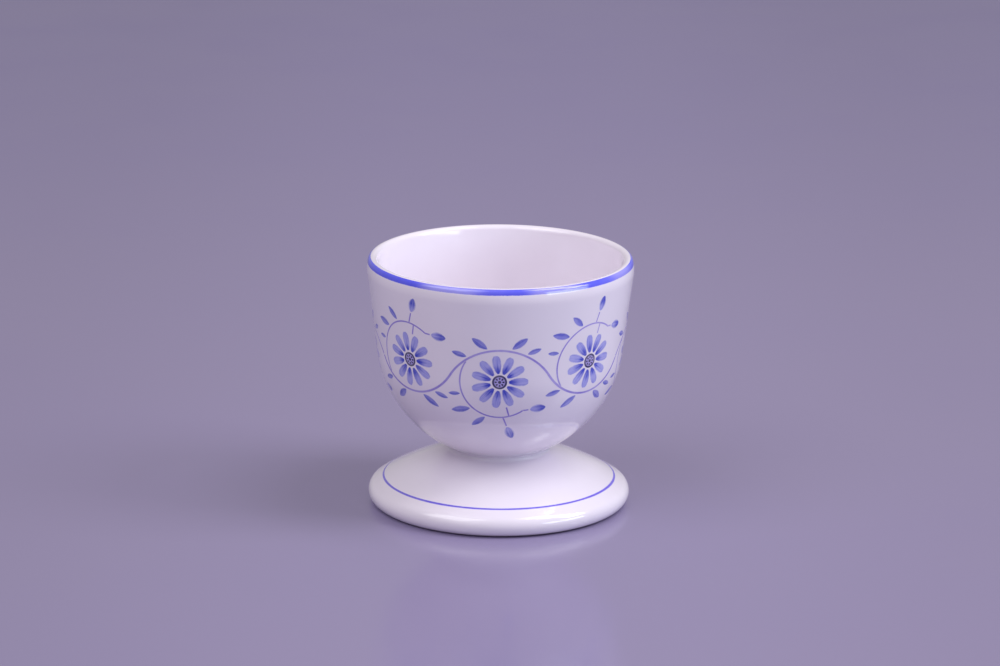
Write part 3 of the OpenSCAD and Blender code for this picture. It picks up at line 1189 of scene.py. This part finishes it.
@dataclass(frozen=True)
class Ink:
    """A fired colour in the glaze: a pale and a deep tone, and soft brush edges."""

    glaze: Glaze
    figure: Figure
    pale: Colour
    deep: Colour
    side: float = 0.22
    end: float = 0.06
    streaks: float = 0.16
    grain: float = 0.14
    strokes: Strokes = Strokes()

    def tone(self, bench: Bench, along: Socket, across: Socket, dab: Socket, wash: Socket) -> Socket:
        """How deep the tone is at a place in the print, from 0 to 1.

        Args:
            bench: the material's bench.
            along: place along the print.
            across: place across it.
            dab: the print's own value.
            wash: streaks to add.

        Returns:
            The share of the deep tone.
        """
        s = self.strokes
        off = bench.maths("ABSOLUTE", bench.spread(across))
        if self.figure is Figure.PETAL:
            reach = bench.maths("MULTIPLY_ADD", dab, s.petal_root_spread, s.petal_root.high)
            root = bench.ease(along, s.petal_root._replace(high=reach))
            vein = bench.maths("MULTIPLY", bench.ease(off, s.petal_vein), bench.ease(along, s.vein_fade))
            rim = bench.maths("MULTIPLY", bench.ease(off, s.petal_rim), bench.ease(along, s.rim_rise))
            base = bench.maths("ADD", bench.maths("ADD", root, vein), rim)
        elif self.figure is Figure.LEAF:
            rib = bench.ease(off, s.leaf_rib)
            base = bench.maths("ADD", bench.ease(across, s.leaf_halves), rib)
        elif self.figure is Figure.BUD:
            rib = bench.ease(off, s.bud_rib)
            base = bench.maths("ADD", bench.ease(along, s.bud_tip), rib)
        elif self.figure is Figure.HEART:
            base = self.dots(bench, along, across)
        else:
            base = bench.ease(bench.noise(bench.place(), GRAIN.ink_tone, 1.0), s.line_cloud)
        return bench.maths("ADD", base, wash, clamp=True)

    def dots(self, bench: Bench, along: Socket, across: Socket) -> Socket:
        """A ring of eight dots round a middle dot, inside a dark rim.

        The dots are the peaks of cos(count * angle), kept to a ring at half the heart's radius.

        Args:
            bench: the material's bench.
            along: place along the heart's square.
            across: place across it.

        Returns:
            The share of the deep tone.
        """
        s = self.strokes
        x, y = bench.spread(along), bench.spread(across)
        squares = bench.maths("ADD", bench.maths("MULTIPLY", x, x), bench.maths("MULTIPLY", y, y))
        far = bench.maths("SQRT", squares)
        turn = bench.maths("MULTIPLY", bench.maths("ARCTAN2", y, x), s.heart_dots)
        beads = bench.ease(bench.maths("COSINE", turn), s.heart_dot)
        ring = bench.ease(bench.away(far, s.heart_ring_at), s.heart_ring)
        rim = bench.ease(bench.away(far, s.heart_rim_at), s.heart_rim)
        middle = bench.ease(far, s.heart_middle)
        ringed = bench.maths("MULTIPLY", ring, beads)
        return bench.maths("MAXIMUM", bench.maths("MAXIMUM", middle, rim), ringed)

    def dress(self, piece: bpy.types.Object, groups: Groups) -> None:
        """Gives a film this ink: the glaze's own colour where the ink thins out, its tones elsewhere.

        A band has no ends to thin out at, and a heart no border but its own dark rim.

        Args:
            piece: the film to dress.
            groups: the shared node groups.
        """
        made, bench, shader, glazed = self.glaze.start(groups)
        made.name = "fired_" + piece.name
        along, across, _ = bench.parts(bench.node("ShaderNodeUVMap", uv_map=LAY_MAP).outputs[0])
        dab = bench.node("ShaderNodeAttribute", attribute_name="Dab").outputs["Fac"]
        brush = bench.group(
            groups["brush"], Place=bench.place(), Dab=dab,
            Along=MIDDLE if self.figure in (Figure.BAND, Figure.HEART) else along,
            Across=MIDDLE if self.figure is Figure.HEART else across,
            Side=self.side, End=self.end, Streaks=self.streaks, Grain=self.grain)
        tone = self.tone(bench, along, across, dab, brush["Wash"])
        ink = bench.mix(tone, self.pale.value, self.deep.value)
        bench.feed(shader.inputs["Base Color"], bench.mix(brush["Ink"], glazed["Colour"], ink))
        bench.feed(shader.inputs["Roughness"], glazed["Roughness"])
        piece.data.materials.append(made)


def set_on_cup(piece: bpy.types.Object, node: str) -> None:
    """Fixes a finished piece to the cup in place of its plain solid, and reports it.

    Args:
        piece: the piece.
        node: name of the solid that it takes the place of.
    """
    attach(piece, BODY)
    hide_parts(node)
    LOG.info("%s: %d points in place of %s", piece.name, len(piece.data.vertices), node)


@dataclass
class Body:
    """The porcelain: bowl, foot and the slip that joins them."""

    cup: CupSizes
    turns: int = 288
    glaze: Glaze = Glaze("glazed_porcelain")
    foot_glaze: Glaze = Glaze("glazed_foot", bare_ring=True)
    slip_glaze: Glaze = Glaze("glazed_slip")

    def build(self, groups: Groups) -> None:
        """Turns and glazes the three pieces.

        Args:
            groups: the shared node groups.
        """
        for node, section, slot, glaze in (
            ("bowl", self.cup.bowl_section(), "porcelain", self.glaze),
            ("foot", self.cup.foot_section(), "foot_porcelain", self.foot_glaze),
            ("slip_joint", self.cup.slip_section(), "slip", self.slip_glaze),
        ):
            piece = lathe("turned_" + node, section, self.turns)
            glaze.dress(piece, groups)
            set_on_cup(piece, node)


@dataclass
class PaintedRings:
    """The rings painted on the turning cup: the band on the rim and the line round the foot."""

    cup: CupSizes
    band_h: float = 1.1 * MM
    band_in: float = 0.35 * MM
    band_waver: float = 0.03 * MM
    band_phase: float = 0.7
    line_in: float = 2.85 * MM
    line_w: float = 0.5 * MM
    line_waver: float = 0.04 * MM
    line_phase: float = 2.1
    waves: tuple[Triple, ...] = ((3, 1, 0.5), (7, 2, 0.3), (17, 0, 0.2))
    top: float = 0.012 * MM
    sink: float = 0.02 * MM
    turns: int = 288
    glaze: Glaze = Glaze("ring_glaze")

    def waver(self, reach: float, phase: float) -> np.ndarray:
        """The hand's waver round the ring: a sum of share * sin(count * angle + shift * phase).

        Each wave holds its count of turns, its shift and its share.

        Args:
            reach: the most that it can reach.
            phase: start of the sines, in radians.

        Returns:
            The shift at each angle.
        """
        angle = np.linspace(0, 2 * math.pi, self.turns, endpoint=False)
        waves = (share * np.sin(count * angle + shift * phase) for count, shift, share in self.waves)
        return reach * sum(waves)

    def rim_band(self) -> bpy.types.Object:
        """The band from just outside the lip's crest down the outside of the rim.

        Returns:
            The ring of film.
        """
        cup = self.cup
        low = math.asin((cup.height - self.band_h - cup.shoulder_c[1]) / cup.shoulder_r)
        high = math.acos(self.band_in / cup.lip_r)
        on_roll = np.linspace(low, cup.lip_turn, 5)[:-1]
        on_lip = np.linspace(cup.lip_turn, high, 14)
        outline = np.concatenate([
            cup.shoulder_c + cup.shoulder_r * heading(on_roll), cup.lip_c + cup.lip_r * heading(on_lip),
        ])
        normals = heading(np.concatenate([on_roll, on_lip]))
        waver = self.waver(self.band_waver, self.band_phase)
        return lathe_strip("painted_rim_band", outline, normals, self.top, self.sink, waver)

    def foot_line(self) -> bpy.types.Object:
        """The thin line on the foot's domed top.

        Returns:
            The ring of film.
        """
        cup = self.cup
        middle = cup.foot_r - self.line_in
        places = np.linspace(middle + self.line_w / 2, middle - self.line_w / 2, 7)
        normals = heading(np.arccos((places - cup.dome_c[0]) / cup.dome_r))
        outline = cup.dome_c + cup.dome_r * normals
        waver = self.waver(self.line_waver, self.line_phase)
        return lathe_strip("painted_foot_line", outline, normals, self.top, self.sink, waver)

    def build(self, groups: Groups) -> None:
        """Paints both rings.

        Args:
            groups: the shared node groups.
        """
        for piece, node, slot, ink in (
            (self.rim_band(), "rim_band", "rim_blue",
             Ink(self.glaze, Figure.BAND, Colour.PALE_COBALT, Colour.COBALT,
                 side=0.05, streaks=0.0, grain=0.02)),
            (self.foot_line(), "foot_line", "line_blue",
             Ink(self.glaze, Figure.BAND, Colour.LINE, Colour.LINE, side=0.24, streaks=0.0, grain=0.06)),
        ):
            ink.dress(piece, groups)
            set_on_cup(piece, node)


@dataclass
class FloralTransfer:
    """The fired transfer round the bowl, each of its colours a piece."""

    cup: CupSizes
    sizes: ScrollSizes = ScrollSizes()
    glaze: Glaze = Glaze("print_glaze")
    seed: int = 7

    def build(self, groups: Groups) -> None:
        """Lays and fires every colour of the transfer.

        Args:
            groups: the shared node groups.
        """
        drawing = ScrollDrawing(self.cup, self.sizes)
        prints = Prints(self.cup, self.sizes)
        order = np.random.default_rng(self.seed)
        for node, name, slot, (patches, lays), ink in (
            ("scroll_stems", "print_stems", "stem_blue", drawing.stems(),
             Ink(self.glaze, Figure.STEM, Colour.LAVENDER, Colour.STEM, side=0.20, end=0.001, streaks=0.1)),
            ("scroll_leaves", "print_leaves", "leaf_blue", drawing.leaves(),
             Ink(self.glaze, Figure.LEAF, Colour.LEAF_PALE, Colour.LEAF, side=0.14, end=0.05)),
            ("daisy_petals", "print_petals", "petal_blue", drawing.petals(),
             Ink(self.glaze, Figure.PETAL, Colour.PETAL_PALE, Colour.PETAL_DEEP, side=0.12, end=0.04)),
            ("daisy_hearts", "print_hearts", "heart_blue", drawing.heart(),
             Ink(self.glaze, Figure.HEART, Colour.LAVENDER, Colour.INK, streaks=0.0)),
            ("flower_buds", "print_buds", "bud_blue", drawing.buds(),
             Ink(self.glaze, Figure.BUD, Colour.PETAL_PALE, Colour.PETAL_DEEP)),
        ):
            dabs = order.random((self.sizes.bends, len(patches)))
            piece = prints.film(name, patches, lays, dabs)
            ink.dress(piece, groups)
            set_on_cup(piece, node)


@dataclass(frozen=True)
class Lamp:
    """A soft rectangular lamp that faces the cup."""

    name: str
    place: Triple
    size: tuple[float, float]
    power: float
    colour: Triple = (1.0, 1.0, 1.0)
    on_table: bool = True
    aim: Triple = (0.0, 0.0, 0.03)

    def hang(self, table: bpy.types.Object) -> None:
        """Hangs the lamp. Its light is kept off the table where the table would mirror it.

        Args:
            table: the table under the cup.
        """
        made = bpy.data.lights.new(self.name, "AREA")
        made.shape = "RECTANGLE"
        made.size, made.size_y = self.size
        made.energy = self.power
        made.color = self.colour
        stand = bpy.data.objects.new(self.name, made)
        bpy.context.scene.collection.objects.link(stand)
        way = Vector(self.aim) - Vector(self.place)
        turn = way.to_track_quat("-Z", "Y").to_matrix().to_4x4()
        stand.matrix_world = Matrix.Translation(self.place) @ turn
        if not self.on_table:
            shaded = bpy.data.collections.new("shaded_from_" + self.name)
            shaded.objects.link(table)
            shaded.collection_objects[0].light_linking.link_state = "EXCLUDE"
            stand.light_linking.receiver_collection = shaded


@dataclass
class Studio:
    """A plain glossy table, soft lamps, and the camera at the photograph's angle."""

    distance: float = 0.8
    camera_z: float = 0.2553
    pitch: float = math.radians(15.56)
    roll: float = math.radians(0.47)
    lens: float = 159.5
    sensor: float = 36.0
    sight: float = 20.0
    table_reach: float = 3.0
    table_drop: float = 0.02 * MM
    near_table: Triple = (0.262, 0.224, 0.362)
    # painted shade: the table's colour far from the camera, darker than near
    far_table_shaded: Triple = (0.205, 0.172, 0.376)
    table_far_shade: Ramp = Ramp(0.05, 0.50, 0.0, 0.7)
    table_cloud: float = 0.3
    table_cloud_detail: float = 3.0
    # painted light: the table is painted brighter round X = 0, fading out to the sides
    table_painted_light: Ramp = Ramp(0.02, 0.11, 1.12, 1.0)
    table_roughness: Ramp = Ramp(0.3, 0.7, 0.14, 0.20)
    room: Triple = (0.97, 0.91, 1.0)
    room_strength: float = 0.395
    lamps: tuple[Lamp, ...] = (
        Lamp("key_lamp", (0.60, -0.12, 0.50), (0.26, 0.26), 1.88),
        Lamp("top_lamp", (0.34, -0.08, 0.72), (0.32, 0.32), 1.80),
        Lamp("left_lamp", (-0.45, -0.30, 0.75), (0.60, 0.60), 2.56),
        Lamp("front_lamp", (-0.65, -0.70, 0.50), (0.80, 0.80), 1.00),
        Lamp("window_lamp", (0.74, -0.44, 0.20), (0.62, 0.20), 2.15, (0.72, 0.86, 1.0), on_table=False),
    )

    def camera(self) -> None:
        """Stands the camera in front, looking down, rolled by a hair."""
        made = bpy.data.cameras.new("camera")
        made.lens = self.lens
        made.sensor_width = self.sensor
        made.clip_end = self.sight
        stand = bpy.data.objects.new("camera", made)
        bpy.context.scene.collection.objects.link(stand)
        place = Matrix.Translation((0.0, -self.distance, self.camera_z))
        tilt = Matrix.Rotation(math.pi / 2 - self.pitch, 4, "X")
        stand.matrix_world = place @ tilt @ Matrix.Rotation(self.roll, 4, "Z")
        bpy.context.scene.camera = stand

    def table_top(self) -> bpy.types.Object:
        """The table: one wide sheet with a soft sheen, just under the standing ring.

        Its colour goes from near to far along Y, darker further away as painted shade, and it is lighter in
        the middle, round X = 0, as painted light.

        Returns:
            The table.
        """
        square = np.array([[-1, -1, 0], [1, -1, 0], [1, 1, 0], [-1, 1, 0]])
        corners = self.table_reach * square - [0, 0, self.table_drop]
        top = make_piece("table_top", corners, [np.array([[0, 1, 2, 3]])])
        made, bench, shader = new_material("table_sheet")
        place = bench.place()
        x, y, _ = bench.parts(place)
        # painted shade: the table darkens further from the camera
        far = bench.ease(y, self.table_far_shade)
        cloud = bench.noise(place, GRAIN.table_cloud, self.table_cloud_detail)
        share = bench.maths("MULTIPLY_ADD", cloud, self.table_cloud, far)
        # painted light: the table's colour is scaled up in the middle, round X = 0
        painted_light = bench.node("ShaderNodeVectorMath", operation="SCALE")
        bench.feed(painted_light.inputs[0], bench.mix(share, self.near_table, self.far_table_shaded))
        bench.feed(painted_light.inputs["Scale"], bench.ease(bench.maths("ABSOLUTE", x), self.table_painted_light))
        bench.feed(shader.inputs["Base Color"], painted_light.outputs[0])
        sheen = bench.noise(place, GRAIN.table_sheen)
        bench.feed(shader.inputs["Roughness"], bench.ease(sheen, self.table_roughness))
        top.data.materials.append(made)
        return top

    def build(self) -> None:
        """Sets up the camera, table, lamps and the even light of the room."""
        self.camera()
        table = self.table_top()
        for lamp in self.lamps:
            lamp.hang(table)
        world = bpy.data.worlds.new("room")
        world.use_nodes = True
        back = next(node for node in world.node_tree.nodes if node.type == "BACKGROUND")
        back.inputs[0].default_value = (*self.room, 1.0)
        back.inputs[1].default_value = self.room_strength
        bpy.context.scene.world = world
        bpy.context.scene.view_settings.view_transform = "Standard"
        LOG.info("studio: table, %d lamps and camera", len(self.lamps))


def keep_sizes() -> None:
    """Updates the view layer, so that every piece stands where it was placed."""
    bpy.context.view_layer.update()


def main() -> None:
    """Builds the studio and the cup: body, painted rings, then the transfer."""
    logging.basicConfig(level=logging.INFO, format="%(message)s")
    groups = {"glaze": GlazeTexture().group(), "brush": BrushEdge().group()}
    cup = CupSizes()
    Studio().build()
    Body(cup).build(groups)
    PaintedRings(cup).build(groups)
    FloralTransfer(cup).build(groups)
    keep_sizes()


if __name__ == "__main__":
    main()
